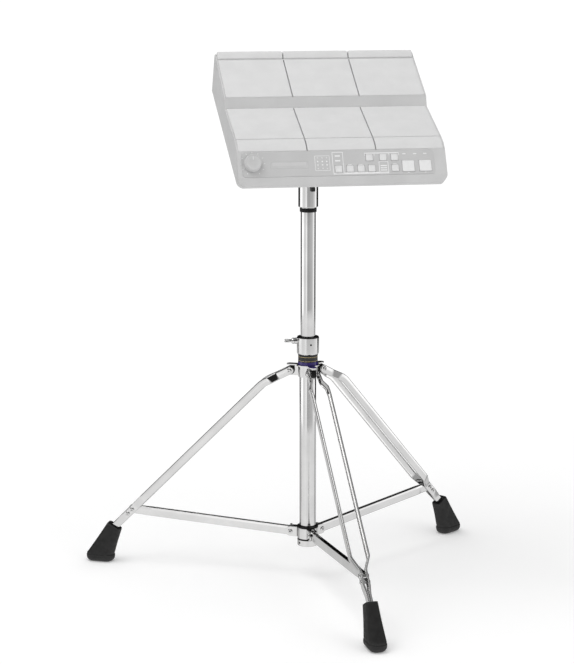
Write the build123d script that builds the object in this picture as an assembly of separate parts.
from build123d import *
import os
from math import atan2, cos, degrees, hypot, radians, sin

# Electronic percussion pad on a tilting, height-adjustable tripod stand.
# Millimetres and degrees. +Z is up and the player stands on the -Y side.
# The origin is at floor level in the middle of the whole footprint.

# ---------------------------------------------------------------- stand axis and tubes
AXIS_X = 17.5  # the tubes' axis in the part's frame
AXIS_Y = 81.0
LOWER_R = 14.3
LOWER_WALL = 1.2
LOWER_Z = (60.0, 415.0)
UPPER_R = 12.7
UPPER_WALL = 1.4
UPPER_Z = (275.0, 686.0)
RUN = 0.06  # radial clearance of every running fit

# ---------------------------------------------------------------- legs and braces
LEG_AZIMUTHS = (155.1, 35.1, -84.9)
HUB_PIVOT = (30.0, 367.0)  # radius from the axis, height
LEG_BEND = (76.7, 342.8)
BRACE_PIVOT = (318.3, 99.5)  # brace to leg
LUG_PIVOT = (29.3, 81.5)  # brace to collar
LEG_END = (370.0, 47.4)
STRAP_WIDTH = 13.5
STRAP_SHEET = 1.2
STRAP_DEPTH = 3.6
BEND_R = 45.0
HUB_HALF = 10.8  # half the distance over both straps, at the hub
WIDE_HALF = 16.8  # along the leg
PIVOT_HALF = 6.65  # at the brace pivot
FOOT_HALF = 4.2  # in the foot
# The strap's outer face: radius from the axis, distance from the leg's middle plane.
STRAP_PLAN = (
    (-80.0, HUB_HALF),
    (-27.6, HUB_HALF),
    (-13.6, WIDE_HALF),
    (311.0, WIDE_HALF),
    (334.0, PIVOT_HALF),
    (361.0, PIVOT_HALF),
    (378.0, FOOT_HALF),
    (460.0, FOOT_HALF),
)
PIN_R = 2.5
PIN_LENGTH = 12.4  # hub pivot pin
BRACE_TALL = 15.5
BRACE_WIDE = 8.0
BRACE_SHEET = 1.4
TONGUE_WIDE = 5.6
TONGUE_LONG = 20.0
TONGUE_TAPER = 8.0
BRACE_END_WALL = 2.5
SECOND_RIVET = 11.0  # distance below the brace pivot, along the leg
FOOT_TOP = (353.0, 66.5, 26.0, 20.0, 28.5)  # radius, height, long, wide, tilt
FOOT_SOLE = (380.2, 14.0, 51.0, 31.0)  # radius, height where the flare ends, long, wide
SOLE_CORNER = 14.0
SOLE_FILLET = 9.0
LUG_WIDE = 6.4  # hub lugs
LINER_WIDE = 8.4
LINER_R = 7.6  # round the pivot
LUG_BOSS = (4.6, 12.4)  # radius, long
LOBE_WIDE = 12.4  # of the plate over each lug

# ---------------------------------------------------------------- collars on the tubes
STOP_Z = (58.0, 68.6)
COLLAR_Z = (71.6, 90.0)
COLLAR_R = 18.0
BUSHING_R = 16.0
CLEVIS_R = 8.6  # the collar's ears, round the lug rivet
CLEVIS_HALF = 7.2
CLEVIS_PLAY = 0.4  # each side of the brace
HUB_Z = (357.0, 376.0)
HUB_R = 16.75
PLATE_Z = 378.0
BADGE_Z = (378.2, 395.6)
BADGE_R = 17.2
TOP_COLLAR_Z = (395.8, 424.8)
TOP_COLLAR_R = 19.0
BRACE_BOLT_AZIMUTH = 117.0
BRACE_BOLT_Z = 80.8
HEIGHT_BOLT_AZIMUTH = 168.9
HEIGHT_BOLT_Z = 418.5
BOLT_R = 3.0
BOLT_BOSS_R = 5.4
BOLT_TIP = 14.7  # distance of both wing bolts' tips from the axis
WING_SPAN = 10.0
WING_REACH = 16.0
PIN_HOLE_R = 1.7
STOP_SCREW_AZIMUTH = -151.1
COLLAR_PIN_AZIMUTH = -85.1
COLLAR_PIN_Z = 414.5

# ---------------------------------------------------------------- tilter
RING_Z = (640.0, 647.0)
SOCKET_Z = (648.0, 692.0)
SOCKET_R = 16.75
KEY_BOLT_AZIMUTH = -79.0
KEY_BOLT_Z = 680.0
TILT_Z = 715.0
PAD_TILT = 26.3
EAR_X = (10.0, 15.5)
BARREL_R = 11.0
BARREL_X = 8.4
EAR_R = 12.0
STEM_LONG = 18.0
TILT_BOLT_R = 4.0
PLATE_SIZE = (150.0, 120.0, 3.0)
PLATE_SCREWS = (110.0, 80.0)
FLANGE = (60.0, 40.0, 4.0)
FLANGE_SCREWS_X = 22.0

# ---------------------------------------------------------------- pad unit
PAD_WIDTH = 345.0
PAD_BACK = (33.2, 155.2, 832.8)  # middle of the case's rear bottom edge, from the axis at floor level
# Side profile: distance forward from the rear bottom edge, height above the case's floor.
BACK_TOP = (4.0, 76.0)
BACK_CHAMFER = (1.2, 68.0)  # lower end of the chamfer along the rear top edge
BAR_END = 20.0
ROW_START = 23.5
UPPER_FRONT = (125.6, 62.0)
LOWER_BACK = (138.7, 48.0)
LOWER_FRONT = (244.5, 54.0)
BAR_CROWN = (262.0, 53.4)
PANEL_TOP = (274.0, 49.0)
PANEL_FOOT = (311.0, 20.2)
LIP = (317.5, 10.0)
FLOOR_FRONT = (308.0, 0.0)
FRONT_CORNER = 14.0  # radius of the case's lower front corners, seen square to the panel
CASE_WALL = 2.5
PAD_THICK = 5.0
RIM_DROP = 1.4
RIM_WIDE = 2.6
PAD_GAP = 1.6
BED_GAP = 0.1  # under each pad, for its adhesive
SEAM_W = 9.0
SEAM_GAP = 0.3
PANEL_SIZE = (318.0, 42.5)
PANEL_MIDDLE_U = -6.5
PANEL_THICK = 1.2

# Control panel layout: sideways from the case's middle, up the panel from its middle.
KNOB_AT = (-148.0, 2.0)
KNOB_R = 14.5
KNOB_TALL = 9.0
KNOB_SHAFT_R = 3.0
DISPLAY = (-88.6, -1.5, 62.0, 12.0)
LED_COLUMNS = (-41.5, -34.0, -26.5)
LED_ROWS = (9.7, 3.7, -2.3, -8.3)
LED_R = 1.3
SMALL_KEYS = (
    (-8, -9.8),
    (11, -9.8),
    (29, -9.8),
    (47, -9.8),
    (86, -9.8),
    (44, 8.7),
    (67, 8.7),
    (86, 8.7),
)
SMALL_KEY = (11.5, 11.0)
BIG_KEYS = ((108.0, -6.8), (136.3, -6.8))
BIG_KEY = (20.0, 18.5)
KEY_PROUD = 1.4
KEY_DEEP = 6.0
KEY_GAP = 0.35
INDICATORS = ((102.5, 14.2), (120.5, 14.2), (137.5, 14.2))
INDICATOR = (6.0, 2.0)

# Rear wall layout: sideways from the case's middle, height above the case's floor.
JACKS = ((-120.0, 32.0), (-92.0, 32.0), (-64.0, 32.0), (-36.0, 32.0))
JACK_BORE_R = 3.25
JACK_LONG = 24.0
JACK_BUSH_R = 4.5
JACK_PROUD = 7.5
JACK_BODY = (13.0, 17.5, 13.0)
POWER_AT = (128.0, 32.0)
POWER_R = 5.0

# Inside the case.
BOARD = (280.0, 170.0, 1.6)
BOARD_MIDDLE = (0.0, -155.0, 9.8)
POST_R = 4.0
BOSS_R = 7.0
BOSS_TOP = 8.0
SENSOR_R = 13.5
SENSOR_THICK = 0.6
CAN_R = 8.0  # volume control behind the panel

# ---------------------------------------------------------------- frames
AXIS = Pos(AXIS_X, AXIS_Y, 0)
PAD = Pos(*PAD_BACK) * Rot(PAD_TILT, 0, 0)  # local x sideways, -y forward, z up from the floor
TILT = Pos(0, 0, TILT_Z) * Rot(PAD_TILT, 0, 0)
PLATE_TOP = (PAD_BACK[2] - TILT_Z) * cos(radians(PAD_TILT)) - PAD_BACK[1] * sin(radians(PAD_TILT))
PANEL_SLOPE = degrees(atan2(PANEL_TOP[1] - PANEL_FOOT[1], PANEL_FOOT[0] - PANEL_TOP[0]))
PANEL_MIDDLE = Pos(0, -(PANEL_TOP[0] + PANEL_FOOT[0]) / 2, (PANEL_TOP[1] + PANEL_FOOT[1]) / 2)
PANEL = PAD * PANEL_MIDDLE * Rot(PANEL_SLOPE, 0, 0)


def leg_frame(azimuth):
    """Local x runs out from the axis, y sideways, z up."""
    return Rot(0, 0, azimuth)


def radial(azimuth, height):
    """Local z points straight out from the axis at that height."""
    return Rot(0, 0, azimuth) * Pos(0, 0, height) * Rot(0, 90, 0)


# ---------------------------------------------------------------- small building blocks
def tube(r_out, r_in, z0, z1):
    """Tube or ring about the stand axis."""
    return Pos(0, 0, (z0 + z1) / 2) * (Cylinder(r_out, z1 - z0) - Cylinder(r_in, z1 - z0 + 1))


def rod_y(x, z, r, y0, y1):
    """Cylinder along y in a leg's frame."""
    return Pos(x, (y0 + y1) / 2, z) * Rot(90, 0, 0) * Cylinder(r, y1 - y0)


def rod_x(r, x0, x1):
    """Cylinder along x."""
    return Pos((x0 + x1) / 2, 0, 0) * Rot(0, 90, 0) * Cylinder(r, x1 - x0)


def side_solid(face, half):
    """A face drawn in (radius, height) becomes a slab of that half thickness."""
    return extrude(Plane.XZ * face, amount=half, both=True)


def plan_solid(points, z0, z1):
    """A polygon drawn in (radius, sideways) becomes a prism between two heights."""
    return Pos(0, 0, z0) * extrude(make_face(Polyline(*points, close=True)), amount=z1 - z0)


def strap_solid(points):
    """A polygon drawn in (distance past the bend along the leg, sideways), extruded square to the lower leg."""
    lean = atan2(LEG_END[1] - LEG_BEND[1], LEG_END[0] - LEG_BEND[0])
    at = Pos(LEG_BEND[0], 0, LEG_BEND[1]) * Rot(0, -degrees(lean), 0)
    return at * extrude(make_face(Polyline(*points, close=True)), amount=90, both=True)


def beyond(start, end, extra):
    """The point past the end of a line, by an extra distance."""
    length = hypot(end[0] - start[0], end[1] - start[1])
    k = 1 + extra / length
    return (start[0] + (end[0] - start[0]) * k, start[1] + (end[1] - start[1]) * k)


def rivet(x, z, y_in, y_out, head_r=4.3, head_t=1.8, r=PIN_R):
    """Rivet end on the +y side: a domed head outside y_out and a shank in to y_in."""
    head = rod_y(x, z, head_r, y_out, y_out + head_t)
    head = fillet(head.edges().sort_by(Axis.Y)[-1], head_t * 0.7)
    return head + rod_y(x, z, r, y_in, y_out)


def both_sides(part):
    """The part and its mirror image across the leg's middle plane."""
    return [part, mirror(part, about=Plane.XZ)]


def group(parts):
    """Separate solids in one node."""
    return Compound(children=[s for p in parts for s in p.solids()])


# ---------------------------------------------------------------- tubes and collars
def lower_tube():
    return tube(LOWER_R, LOWER_R - LOWER_WALL, *LOWER_Z)


def upper_tube():
    return tube(UPPER_R, UPPER_R - UPPER_WALL, *UPPER_Z)


def tube_end_stop():
    z0, z1 = STOP_Z
    ring = tube(COLLAR_R, LOWER_R, z0 + 2, z1) + tube(COLLAR_R, LOWER_R - LOWER_WALL, z0, z0 + 2)
    ring = fillet(ring.edges().filter_by(GeomType.CIRCLE).group_by(Axis.Z)[0].sort_by(SortBy.RADIUS)[-1], 1.5)
    screw_hole = radial(STOP_SCREW_AZIMUTH, z0 + 6) * Pos(0, 0, COLLAR_R) * Cylinder(PIN_HOLE_R, 4.0)
    return ring - screw_hole


def leg_hub():
    z0, z1 = HUB_Z
    hub = tube(HUB_R, LOWER_R, z0, z1)
    disc = Pos(0, 0, (z1 + PLATE_Z) / 2) * Cylinder(HUB_R + 3, PLATE_Z - z1)
    for azimuth in LEG_AZIMUTHS:
        lobe = Pos(18, 0, (z1 + PLATE_Z) / 2) * Box(26, LOBE_WIDE, PLATE_Z - z1)
        lobe += Pos(31, 0, (z1 + PLATE_Z) / 2) * Cylinder(LOBE_WIDE / 2, PLATE_Z - z1)
        lug = Pos(24, 0, (z0 + z1) / 2 + 0.5) * Box(18, LUG_WIDE, z1 - z0 - 1)
        lug += rod_y(*HUB_PIVOT, LUG_BOSS[0], -LUG_BOSS[1] / 2, LUG_BOSS[1] / 2)
        disc += leg_frame(azimuth) * (lobe + lug)
        disc -= leg_frame(azimuth) * rod_y(HUB_PIVOT[0], HUB_PIVOT[1], PIN_R, -10, 10)
    return hub + (disc - Cylinder(LOWER_R, 2000))


def hub_lug_liners():
    """A nylon cap over each lug's outer end, which the leg's straps straddle."""
    caps = []
    for azimuth in LEG_AZIMUTHS:
        cap = rod_y(*HUB_PIVOT, LINER_R, -LINER_WIDE / 2, LINER_WIDE / 2)
        cap += Pos(26.5, 0, 370.9) * Box(8.0, LINER_WIDE, 10.0)
        core = Pos(24, 0, (HUB_Z[0] + HUB_Z[1]) / 2 + 0.5) * Box(18, LUG_WIDE, HUB_Z[1] - HUB_Z[0] - 1)
        cap = cap - core - rod_y(*HUB_PIVOT, LUG_BOSS[0], -10, 10)
        caps.append(leg_frame(azimuth) * cap)
    return group(caps)


def hub_pivot_pins():
    """Pins that end inside the liners: this pivot is where the linkage is opened."""
    pin = rod_y(HUB_PIVOT[0], HUB_PIVOT[1], PIN_R, -PIN_LENGTH / 2, PIN_LENGTH / 2)
    return group([leg_frame(azimuth) * pin for azimuth in LEG_AZIMUTHS])


def badge_band():
    return tube(BADGE_R, LOWER_R, *BADGE_Z)


def height_collar():
    z0, z1 = TOP_COLLAR_Z
    ring = tube(TOP_COLLAR_R, LOWER_R, z0, z1)
    outer = ring.edges().filter_by(GeomType.CIRCLE).sort_by(SortBy.RADIUS)[-2:]
    ring = fillet(outer.sort_by(Axis.Z)[0], 3.0)
    boss = radial(HEIGHT_BOLT_AZIMUTH, HEIGHT_BOLT_Z) * Pos(0, 0, 19.5) * Cylinder(BOLT_BOSS_R, 6.0)
    bore = radial(HEIGHT_BOLT_AZIMUTH, HEIGHT_BOLT_Z) * Pos(0, 0, 19) * Cylinder(BOLT_R + RUN, 12)
    pin_hole = radial(COLLAR_PIN_AZIMUTH, COLLAR_PIN_Z) * Pos(0, 0, TOP_COLLAR_R) * Cylinder(PIN_HOLE_R, 4.0)
    return ring + (boss - Cylinder(TOP_COLLAR_R - 1, 2000)) - bore - pin_hole


def height_bushing():
    sleeve = tube(LOWER_R, UPPER_R + RUN, LOWER_Z[1], TOP_COLLAR_Z[1])
    return sleeve + tube(18.3, UPPER_R + RUN, TOP_COLLAR_Z[1], TOP_COLLAR_Z[1] + 1.8)


def brace_collar():
    z0, z1 = COLLAR_Z
    x, z = LUG_PIVOT
    ring = tube(COLLAR_R, BUSHING_R, z0, z1)
    half = BRACE_WIDE / 2 + CLEVIS_PLAY
    for azimuth in LEG_AZIMUTHS:
        ears = Pos(x - 6, 0, z) * Box(12, 2 * CLEVIS_HALF, 2 * CLEVIS_R)
        ears += rod_y(x, z, CLEVIS_R, -CLEVIS_HALF, CLEVIS_HALF)
        ears -= Pos(x + 5.3, 0, z) * Box(28, 2 * half, 30)
        ears -= rod_y(x, z, PIN_R, -10, 10)
        ring += leg_frame(azimuth) * (ears - Cylinder(COLLAR_R - 0.8, 2000))
    boss = radial(BRACE_BOLT_AZIMUTH, BRACE_BOLT_Z) * Pos(0, 0, 20) * Cylinder(BOLT_BOSS_R, 7.0)
    bore = radial(BRACE_BOLT_AZIMUTH, BRACE_BOLT_Z) * Pos(0, 0, 20) * Cylinder(BOLT_R + RUN, 14)
    return ring + (boss - Cylinder(COLLAR_R - 1, 2000)) - bore


def brace_collar_bushing():
    z0, z1 = COLLAR_Z
    sleeve = tube(BUSHING_R, LOWER_R + RUN, z0, z1)
    flanges = tube(18.4, LOWER_R + RUN, z1, z1 + 2.6) + tube(17.2, LOWER_R + RUN, STOP_Z[1] + 0.1, z0)
    bore = radial(BRACE_BOLT_AZIMUTH, BRACE_BOLT_Z) * Pos(0, 0, 20) * Cylinder(BOLT_R + RUN, 14)
    return sleeve + flanges - bore


def brace_lug_rivets():
    rivets = []
    for azimuth in LEG_AZIMUTHS:
        half = rivet(*LUG_PIVOT, 0, CLEVIS_HALF)
        rivets.append(leg_frame(azimuth) * (half + mirror(half, about=Plane.XZ)))
    return group(rivets)


def wing_bolt(shank_r, tip, seat, span, reach):
    """Wing bolt along local z: shank from tip to seat, then a hub with two swept wings."""
    bolt = Pos(0, 0, (tip + seat) / 2) * Cylinder(shank_r, seat - tip)
    bolt += Pos(0, 0, seat + 2.5) * Cylinder(shank_r + 2.2, 5.0)
    outline = Polyline(
        (-span * 0.62, reach),
        (-span, reach * 0.86),
        (-shank_r - 1.2, 0),
        (shank_r + 1.2, 0),
        (span, reach * 0.86),
        (span * 0.62, reach),
        (0, reach * 0.42),
        close=True,
    )
    blade = extrude(Plane.XZ * make_face(outline), amount=1.3, both=True)
    blade = fillet(blade.edges().filter_by(Axis.Y), 1.2)
    return bolt + Pos(0, 0, seat + 1.5) * blade


# ---------------------------------------------------------------- legs
def leg_outline(inset):
    """The strap's side outline, drawn in (radius, height), narrowed by the inset all round."""
    path = FilletPolyline(HUB_PIVOT, LEG_BEND, LEG_END, radius=BEND_R)
    return trace(path, line_width=STRAP_WIDTH - 2 * inset) + Pos(*HUB_PIVOT) * Circle(STRAP_WIDTH / 2 - inset)


def plan_band(outer, depth):
    """The plan of one strap from its outer face inwards, by that depth."""
    return list(outer) + [(x, y - depth) for x, y in reversed(outer)]


def leg_strap():
    """One of the leg's two pressed channels, open towards the other one."""
    web = side_solid(leg_outline(0), 30) & strap_solid(plan_band(STRAP_PLAN, STRAP_SHEET))
    edge = side_solid(leg_outline(0), 30) - side_solid(leg_outline(STRAP_SHEET), 31)
    channel = web + (edge & strap_solid(plan_band(STRAP_PLAN, STRAP_DEPTH)))
    second = beyond(LEG_BEND, BRACE_PIVOT, SECOND_RIVET)
    for x, z in (HUB_PIVOT, BRACE_PIVOT, second):
        channel -= rod_y(x, z, PIN_R, 0, 30)
    return channel


def leg_rivets():
    """Brace pivot pin, the rivet under it, and the two short rivets on the hub end."""
    x, z = beyond(LEG_BEND, BRACE_PIVOT, SECOND_RIVET)
    pivot = rivet(*BRACE_PIVOT, 0, PIVOT_HALF)
    lower = rivet(x, z, 0, PIVOT_HALF, head_r=3.9)
    short = rivet(*HUB_PIVOT, HUB_HALF - STRAP_SHEET, HUB_HALF)
    through = [half + mirror(half, about=Plane.XZ) for half in (pivot, lower)]
    return group(through + both_sides(short))


def leg_foot(straps):
    """Rubber boot: a leaning top on a long flat sole."""
    top_x, top_z, top_long, top_wide, tilt = FOOT_TOP
    sole_x, sole_z, sole_long, sole_wide = FOOT_SOLE
    a = radians(tilt)
    top_plane = Plane(origin=(top_x, 0, top_z), x_dir=(cos(a), 0, sin(a)), z_dir=(-sin(a), 0, cos(a)))
    sole_plane = Plane(origin=(sole_x, 0, sole_z))
    sole = RectangleRounded(sole_long, sole_wide, SOLE_CORNER)
    flare = loft([sole_plane * sole, top_plane * RectangleRounded(top_long, top_wide, 5)])
    base = Pos(sole_x, 0, 0) * extrude(sole, amount=sole_z)
    base = fillet(base.edges().group_by(Axis.Z)[0], SOLE_FILLET)
    foot = flare + base
    for strap in straps:
        foot -= strap
    return foot


# ---------------------------------------------------------------- braces
def brace():
    """Channel strut, open at the top, that narrows to a tongue at its outer end."""
    dx = BRACE_PIVOT[0] - LUG_PIVOT[0]
    dz = BRACE_PIVOT[1] - LUG_PIVOT[1]
    length = hypot(dx, dz)
    end_r = BRACE_TALL / 2
    outline = Pos(length / 2, 0) * SlotCenterToCenter(length, BRACE_TALL)
    wide, slim = BRACE_WIDE / 2, TONGUE_WIDE / 2
    neck = length - TONGUE_LONG
    plan = [(-end_r - 1, wide), (neck - TONGUE_TAPER, wide), (neck, slim), (length + end_r + 1, slim)]
    hollow = [(-end_r + BRACE_END_WALL, wide - BRACE_SHEET)]
    hollow += [(neck - TONGUE_TAPER, wide - BRACE_SHEET), (neck, slim - BRACE_SHEET)]
    hollow += [(length + end_r - BRACE_END_WALL, slim - BRACE_SHEET)]
    body = side_solid(outline, 10) & plan_solid(plan + [(x, -y) for x, y in reversed(plan)], -20, 20)
    body -= plan_solid(hollow + [(x, -y) for x, y in reversed(hollow)], BRACE_SHEET - end_r, 20)
    for x in (0, length):
        body -= rod_y(x, 0, PIN_R + RUN, -20, 20)
    return Pos(LUG_PIVOT[0], 0, LUG_PIVOT[1]) * Rot(0, -degrees(atan2(dz, dx)), 0) * body


# ---------------------------------------------------------------- tilter
def socket_ring():
    return tube(14.25, UPPER_R, *RING_Z)


def tilter_socket():
    z0, z1 = SOCKET_Z
    socket = Pos(0, 0, (z0 + z1) / 2) * Cylinder(SOCKET_R, z1 - z0)
    socket -= Pos(0, 0, (z0 + UPPER_Z[1]) / 2) * Cylinder(UPPER_R + RUN, UPPER_Z[1] - z0 + 1.0)
    bottom_edge = socket.edges().filter_by(GeomType.CIRCLE).group_by(Axis.Z)[0].sort_by(SortBy.RADIUS)[-1]
    socket = fillet(bottom_edge, 1.5)
    socket -= radial(KEY_BOLT_AZIMUTH, KEY_BOLT_Z) * Pos(0, 0, 15) * Cylinder(BOLT_R, 8)
    return socket + tilter_yoke()


def socket_key_bolt():
    """Square-headed key bolt that clamps the socket on the upper tube."""
    shank = Pos(0, 0, 15.4) * Cylinder(BOLT_R, 4.2)
    head = Pos(0, 0, 20.0) * (Cylinder(4.6, 5.0) & Box(7.4, 7.4, 8.0))
    return radial(KEY_BOLT_AZIMUTH, KEY_BOLT_Z) * (shank + head)


def tilter_yoke():
    """Two ears on top of the socket, which carry the tilt bolt."""
    z0 = SOCKET_Z[1]
    yoke = Pos(0, 0, z0 + 3.5) * Cylinder(SOCKET_R, 7.0)
    for side in (-1, 1):
        x = side * (EAR_X[0] + EAR_X[1]) / 2
        wide = EAR_X[1] - EAR_X[0]
        ear = Pos(x, 0, (z0 + TILT_Z) / 2) * Box(wide, 2 * EAR_R, TILT_Z - z0)
        ear += Pos(x, 0, TILT_Z) * Rot(0, 90, 0) * Cylinder(EAR_R, wide)
        yoke += ear
    return yoke - Pos(0, 0, TILT_Z) * rod_x(TILT_BOLT_R + RUN, -30, 30)


def tilter_head():
    """Barrel between the yoke's ears, with a stem up to the plate's flange."""
    head = rod_x(BARREL_R, -BARREL_X, BARREL_X)
    top = PLATE_TOP - PLATE_SIZE[2]
    head += Pos(0, 0, top / 2) * Box(2 * BARREL_X, STEM_LONG, top)
    head += Pos(0, 0, top - FLANGE[2] / 2) * Box(*FLANGE)
    for x in (-FLANGE_SCREWS_X, FLANGE_SCREWS_X):
        head -= Pos(x, 0, top) * Cylinder(BOLT_R, 12)
    return TILT * (head - rod_x(TILT_BOLT_R + RUN, -30, 30))


def tilt_friction_discs():
    discs = [rod_x(BARREL_R, BARREL_X + 0.1, EAR_X[0]), rod_x(BARREL_R, -EAR_X[0], -BARREL_X - 0.1)]
    return group([Pos(0, 0, TILT_Z) * (disc - rod_x(TILT_BOLT_R + RUN, -30, 30)) for disc in discs])


def tilt_wing_bolt():
    """Through bolt of the tilt pivot: wing on the +x side, dome nut on the other."""
    shank = Rot(0, 90, 0) * wing_bolt(TILT_BOLT_R, -17.5, EAR_X[1] + 0.4, 15, 22)
    nut = rod_x(6.5, -20.5, -EAR_X[1] - 0.4)
    nut = fillet(nut.edges().sort_by(Axis.X)[0], 2.0)
    return Pos(0, 0, TILT_Z) * (shank + nut)


def plate_holes(top):
    """Centres of the screws through the plate, in the tilter's frame."""
    half_x, half_y = PLATE_SCREWS[0] / 2, PLATE_SCREWS[1] / 2
    return [Pos(x, y, top) for x in (-half_x, half_x) for y in (-half_y, half_y)]


def mounting_plate():
    wide, long, thick = PLATE_SIZE
    plate = extrude(RectangleRounded(wide, long, 8), amount=-thick)
    for hole in plate_holes(0) + [Pos(-FLANGE_SCREWS_X, 0, 0), Pos(FLANGE_SCREWS_X, 0, 0)]:
        plate -= hole * Cylinder(BOLT_R, 12)
    return TILT * Pos(0, 0, PLATE_TOP) * plate


def plate_screws():
    """Four screws up into the case's bosses and two that hold the plate on the tilter."""
    screws = []
    for at in plate_holes(PLATE_TOP):
        shank = Pos(0, 0, 1.8) * Cylinder(BOLT_R, 9.6)
        head = Pos(0, 0, -PLATE_SIZE[2] - 1.5) * Cylinder(6.0, 3.0)
        screws.append(TILT * at * (shank + head))
    for x in (-FLANGE_SCREWS_X, FLANGE_SCREWS_X):
        shank = Pos(0, 0, -3.5) * Cylinder(BOLT_R, 7.0)
        head = Pos(0, 0, -PLATE_SIZE[2] - FLANGE[2] - 1.5) * Cylinder(5.5, 3.0)
        screws.append(TILT * Pos(x, 0, PLATE_TOP) * (shank + head))
    return group(screws)


# ---------------------------------------------------------------- pad unit
def profile_face(points):
    """A face drawn in (forward, up), in the case's frame, ready to extrude sideways."""
    return Plane.YZ * make_face(Polyline(*[(-v, w) for v, w in points], close=True))


def across(points, half_width):
    """The profile extruded to both sides of the case's middle."""
    return extrude(profile_face(points), amount=half_width, both=True)


def top_line(v):
    """Height of the rear bars and upper row at a distance forward."""
    slope = (UPPER_FRONT[1] - BACK_TOP[1]) / (UPPER_FRONT[0] - BACK_TOP[0])
    return BACK_TOP[1] + slope * (v - BACK_TOP[0])


PAD_ROWS = {
    "rear_bar_pads": [
        (BACK_TOP[0], BACK_TOP[1] + 0.5),
        (BACK_TOP[0] + 2.0, BACK_TOP[1] + 4.0),
        (BACK_TOP[0] + 7.0, BACK_TOP[1] + 4.4),
        (BAR_END, top_line(BAR_END) + 0.6),
    ],
    "upper_pads": [(ROW_START, top_line(ROW_START)), UPPER_FRONT],
    "lower_pads": [(LOWER_BACK[0] + 0.6, LOWER_BACK[1]), LOWER_FRONT],
    "front_bar_pads": [(LOWER_FRONT[0] + 1.2, LOWER_FRONT[1]), BAR_CROWN, PANEL_TOP],
}


def row_prism(top, half_width, up=0.0, grow=0.0, thick=PAD_THICK):
    """The space of one row of pads: its top line and the bed under it."""
    first, last = top[0], top[-1]
    upper = [(v, w + up) for v, w in top]
    upper[0] = (upper[0][0] - grow, upper[0][1])
    upper[-1] = (upper[-1][0] + grow, upper[-1][1])
    bed = [(last[0] + grow, last[1] - thick), (first[0] - grow, first[1] - thick)]
    return across(upper + bed, half_width)


def row_pads(top):
    """Three rubber pads side by side, with a gap between neighbours."""
    half = PAD_WIDTH / 2 - RIM_WIDE - 0.2
    wide = (2 * half - 2 * PAD_GAP) / 3
    prism = row_prism(top, half, thick=PAD_THICK - BED_GAP)
    pads = []
    for i in (-1, 0, 1):
        pad = prism & Pos(i * (wide + PAD_GAP), -PAD_WIDTH / 2, 40) * Box(wide, 2 * PAD_WIDTH, 120)
        pads.append(PAD * pad)
    return group(pads)


def case_outline(drop):
    """The case's side outline, with the pad rows lowered by the drop."""
    return [
        (0, 0),
        (BACK_CHAMFER[0], BACK_CHAMFER[1] - drop),
        (BACK_TOP[0] + 1.0, top_line(BACK_TOP[0] + 1.0) - drop),
        (UPPER_FRONT[0], UPPER_FRONT[1] - drop),
        (LOWER_BACK[0], LOWER_BACK[1] - drop),
        (LOWER_FRONT[0], LOWER_FRONT[1] - drop),
        (BAR_CROWN[0], BAR_CROWN[1] - drop),
        (PANEL_TOP[0] + 0.4, PANEL_TOP[1] - drop * 0.8),
        PANEL_FOOT,
        LIP,
        FLOOR_FRONT,
    ]


def case_front(inset):
    """The case's outline seen square to the panel, open-ended upwards, with round lower corners."""
    low = (PANEL.inverse() * PAD * Pos(0, -LIP[0], LIP[1])).position.Y + inset
    face = RectangleRounded(PAD_WIDTH - 2 * inset, 2 * PAD_WIDTH, FRONT_CORNER - inset)
    return PAD.inverse() * PANEL * Pos(0, low + PAD_WIDTH, 0) * extrude(face, amount=PAD_WIDTH, both=True)


def case_solid():
    """Both halves of the case together, before they are hollowed and split."""
    return across(case_outline(RIM_DROP), PAD_WIDTH / 2) & case_front(0)


def case_cavity():
    face = offset(profile_face(case_outline(RIM_DROP + PAD_THICK)), amount=-CASE_WALL, kind=Kind.INTERSECTION)
    inset = RIM_WIDE + 0.2
    return extrude(face, amount=PAD_WIDTH / 2 - inset, both=True) & case_front(inset)


def below_seam():
    return Pos(0, -PAD_WIDTH / 2, SEAM_W / 2 - 20) * Box(2 * PAD_WIDTH, 2 * PAD_WIDTH, SEAM_W + 40)


def board_posts():
    """Feet of the main board, on the case's floor, in the case's frame."""
    return [Pos(x, y, 0) for x in (-130, 130) for y in (-230, -80)]


def plate_boss_places():
    """The mounting plate's screw centres, moved into the case's frame."""
    middle_v = PAD_BACK[1] * cos(radians(PAD_TILT)) + (PAD_BACK[2] - TILT_Z) * sin(radians(PAD_TILT))
    half_x, half_y = PLATE_SCREWS[0] / 2, PLATE_SCREWS[1] / 2
    return [Pos(x - PAD_BACK[0], y - middle_v, 0) for x in (-half_x, half_x) for y in (-half_y, half_y)]


def bottom_case(solid, cavity):
    tray = solid & below_seam()
    tray -= cavity
    for at in board_posts():
        tray += at * Pos(0, 0, 5.5) * Cylinder(POST_R, 7)
    for at in plate_boss_places():
        tray += at * Pos(0, 0, BOSS_TOP - 3.0) * Cylinder(BOSS_R, 6)
        tray -= at * Pos(0, 0, 3.4) * Cylinder(BOLT_R, 7.2)
    return PAD * tray


def key_places():
    """Name, place on the panel and size of every key."""
    keys = [(f"key_{i + 1}", at, SMALL_KEY) for i, at in enumerate(SMALL_KEYS)]
    return keys + [(f"large_key_{i + 1}", at, BIG_KEY) for i, at in enumerate(BIG_KEYS)]


def key_holes(depth):
    """Openings for the keys and the knob's shaft, in the panel's frame."""
    holes = []
    for _, (u, s), (wide, tall) in key_places():
        holes.append(Pos(u, s, 0) * Box(wide + 2 * KEY_GAP, tall + 2 * KEY_GAP, depth))
    holes.append(Pos(*KNOB_AT, 0) * Cylinder(KNOB_SHAFT_R + RUN, depth))
    return holes


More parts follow.
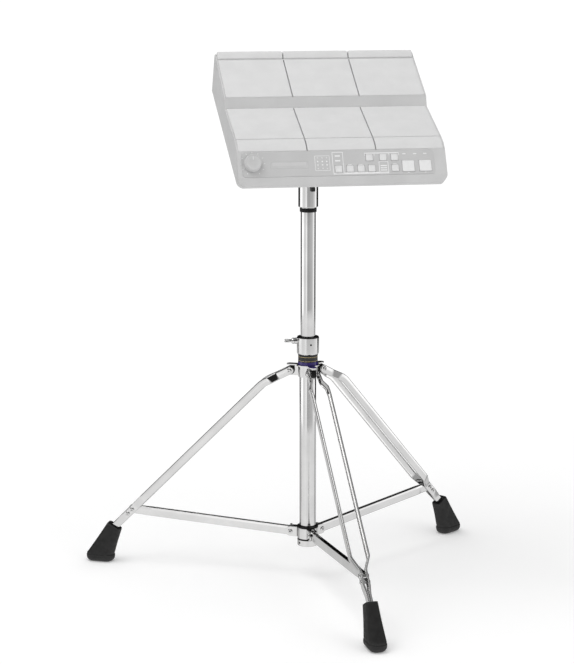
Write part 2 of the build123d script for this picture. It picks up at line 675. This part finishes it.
def top_case(solid, cavity):
    shell = solid - Pos(0, 0, SEAM_GAP) * below_seam()
    for top in PAD_ROWS.values():
        shell -= row_prism(top, PAD_WIDTH / 2 - RIM_WIDE, up=12, grow=0.2)
    shell -= cavity
    shell = PAD * shell
    shell -= PANEL * panel_recess()
    for hole in key_holes(20):
        shell -= PANEL * hole
    for u, w in JACKS:
        shell -= PAD * Pos(u, 0, w) * Rot(90, 0, 0) * Cylinder(JACK_BUSH_R + 0.1, 20)
    return shell - PAD * Pos(POWER_AT[0], 0, POWER_AT[1]) * Rot(90, 0, 0) * Cylinder(POWER_R + 0.3, 20)


def panel_recess():
    """The shallow pocket that the control panel sits in, in the panel's frame."""
    return Pos(PANEL_MIDDLE_U, 0, -PANEL_THICK) * extrude(RectangleRounded(*PANEL_SIZE, 6), amount=8)


def control_panel():
    sheet = Pos(PANEL_MIDDLE_U, 0, -PANEL_THICK) * extrude(
        RectangleRounded(PANEL_SIZE[0] - 0.4, PANEL_SIZE[1] - 0.4, 5.8), amount=PANEL_THICK + 0.3
    )
    for hole in key_holes(20):
        sheet -= hole
    u, s, wide, tall = DISPLAY
    sheet -= Pos(u, s, 0) * Box(wide, tall, 20)
    for u in LED_COLUMNS:
        for s in LED_ROWS:
            sheet -= Pos(u, s, 0) * Cylinder(LED_R, 20)
    for u, s in INDICATORS:
        sheet -= Pos(u, s, 0) * Box(*INDICATOR, 20)
    return PANEL * sheet


def panel_windows():
    """Display window, pad lamps and indicator lenses, all flush with the panel."""
    u, s, wide, tall = DISPLAY
    height = PANEL_THICK + 0.2
    lift = height / 2 - PANEL_THICK
    windows = [Pos(u, s, lift) * Box(wide, tall, height)]
    windows += [Pos(u, s, lift) * Cylinder(LED_R, height) for u in LED_COLUMNS for s in LED_ROWS]
    windows += [Pos(u, s, lift) * Box(*INDICATOR, height) for u, s in INDICATORS]
    return group([PANEL * window for window in windows])


def key(at, size):
    wide, tall = size
    cap = Pos(*at, KEY_PROUD) * extrude(RectangleRounded(wide, tall, 1.2), amount=-KEY_PROUD - KEY_DEEP)
    cap = fillet(cap.edges().group_by(Axis.Z)[-1], 0.5)
    return PANEL * cap


def volume_knob():
    cap = Pos(0, 0, 0.9 + KNOB_TALL / 2) * Cylinder(KNOB_R, KNOB_TALL)
    cap = chamfer(cap.edges().group_by(Axis.Z)[-1], 1.2)
    shaft = Pos(0, 0, -4.0) * Cylinder(KNOB_SHAFT_R, 10.0)
    return PANEL * Pos(*KNOB_AT, 0) * (cap + shaft)


def main_board():
    """Circuit board on its posts, and the volume control behind the panel."""
    board = Pos(*BOARD_MIDDLE) * Box(*BOARD)
    can = PANEL * Pos(*KNOB_AT, -14.3) * Cylinder(CAN_R, 10.0)
    return group([PAD * board, can])


def pad_sensors():
    """A piezo disc against the underside of the case below each pad."""
    discs = []
    third = (PAD_WIDTH - 2 * RIM_WIDE) / 3
    for top in (PAD_ROWS["upper_pads"], PAD_ROWS["lower_pads"]):
        (v0, w0), (v1, w1) = top[0], top[-1]
        slope = degrees(atan2(w0 - w1, v1 - v0))
        for i in (-1, 0, 1):
            at = Pos(i * third, -(v0 + v1) / 2, (w0 + w1) / 2) * Rot(slope, 0, 0)
            drop = PAD_THICK + RIM_DROP + CASE_WALL + 0.8
            discs.append(PAD * at * Pos(0, 0, -drop) * Cylinder(SENSOR_R, SENSOR_THICK))
    return group(discs)


def back_wall(w):
    """Distance forward of the case's rear wall at a height above its floor."""
    return BACK_CHAMFER[0] * w / BACK_CHAMFER[1]


def rear_jacks():
    jacks = []
    for u, w in JACKS:
        jack = Pos(0, -12.2, 0) * Box(*JACK_BODY)
        jack += Pos(0, JACK_PROUD - 6, 0) * Rot(90, 0, 0) * Cylinder(JACK_BUSH_R, 12)
        jack += Pos(0, 1.3, 0) * Rot(90, 0, 0) * extrude(RegularPolygon(6.2, 6), amount=1.2, both=True)
        jack -= Pos(0, JACK_PROUD - JACK_LONG / 2, 0) * Rot(90, 0, 0) * Cylinder(JACK_BORE_R, JACK_LONG)
        jacks.append(PAD * Pos(u, -back_wall(w), w) * jack)
    return group(jacks)


def power_button():
    u, w = POWER_AT
    cap = Pos(0, -2.0, 0) * Rot(90, 0, 0) * Cylinder(POWER_R, 9.0)
    cap = fillet(cap.edges().sort_by(Axis.Y)[-1], 0.8)
    return PAD * Pos(u, -back_wall(w), w) * cap


# ---------------------------------------------------------------- every node
def wing_bolt_at(azimuth, height, seat, turn=0):
    """Wing bolt whose axis points straight out from the tubes."""
    bolt = wing_bolt(BOLT_R, BOLT_TIP, seat, WING_SPAN, WING_REACH)
    return radial(azimuth, height) * Rot(0, 0, turn) * bolt


def build():
    nodes = {
        "lower_tube": lower_tube(),
        "leg_hub": leg_hub(),
        "hub_lug_liners": hub_lug_liners(),
        "hub_pivot_pins": hub_pivot_pins(),
        "badge_band": badge_band(),
        "height_collar": height_collar(),
        "height_bushing": height_bushing(),
        "tube_end_stop": tube_end_stop(),
        "brace_collar": brace_collar(),
        "brace_collar_bushing": brace_collar_bushing(),
        "brace_lug_rivets": brace_lug_rivets(),
        "brace_wing_bolt": wing_bolt_at(BRACE_BOLT_AZIMUTH, BRACE_BOLT_Z, 24.0, turn=-45),
        "height_wing_bolt": wing_bolt_at(HEIGHT_BOLT_AZIMUTH, HEIGHT_BOLT_Z, 23.0, turn=90),
        "upper_tube": upper_tube(),
        "socket_ring": socket_ring(),
        "tilter_socket": tilter_socket(),
        "socket_key_bolt": socket_key_bolt(),
        "tilt_friction_discs": tilt_friction_discs(),
        "tilt_wing_bolt": tilt_wing_bolt(),
        "tilter_head": tilter_head(),
        "mounting_plate": mounting_plate(),
        "plate_screws": plate_screws(),
        "control_panel": control_panel(),
        "panel_windows": panel_windows(),
        "volume_knob": volume_knob(),
        "main_board": main_board(),
        "pad_sensors": pad_sensors(),
        "rear_jacks": rear_jacks(),
        "power_button": power_button(),
    }
    strap = leg_strap()
    straps = both_sides(strap)
    foot = leg_foot(straps)
    for i, azimuth in enumerate(LEG_AZIMUTHS, 1):
        place = leg_frame(azimuth)
        nodes[f"leg_{i}_straps"] = group([place * s for s in straps])
        nodes[f"leg_{i}_foot"] = place * foot
        nodes[f"leg_{i}_rivets"] = group([place * s for s in leg_rivets().solids()])
        nodes[f"brace_{i}"] = place * brace()
    solid, cavity = case_solid(), case_cavity()
    nodes["bottom_case"] = bottom_case(solid, cavity)
    nodes["top_case"] = top_case(solid, cavity)
    for name, top in PAD_ROWS.items():
        nodes[name] = row_pads(top)
    for name, at, size in key_places():
        nodes[name] = key(at, size)
    return nodes


os.makedirs("parts", exist_ok=True)
for name, part in build().items():
    export_step(AXIS * part, f"parts/{name}.step")
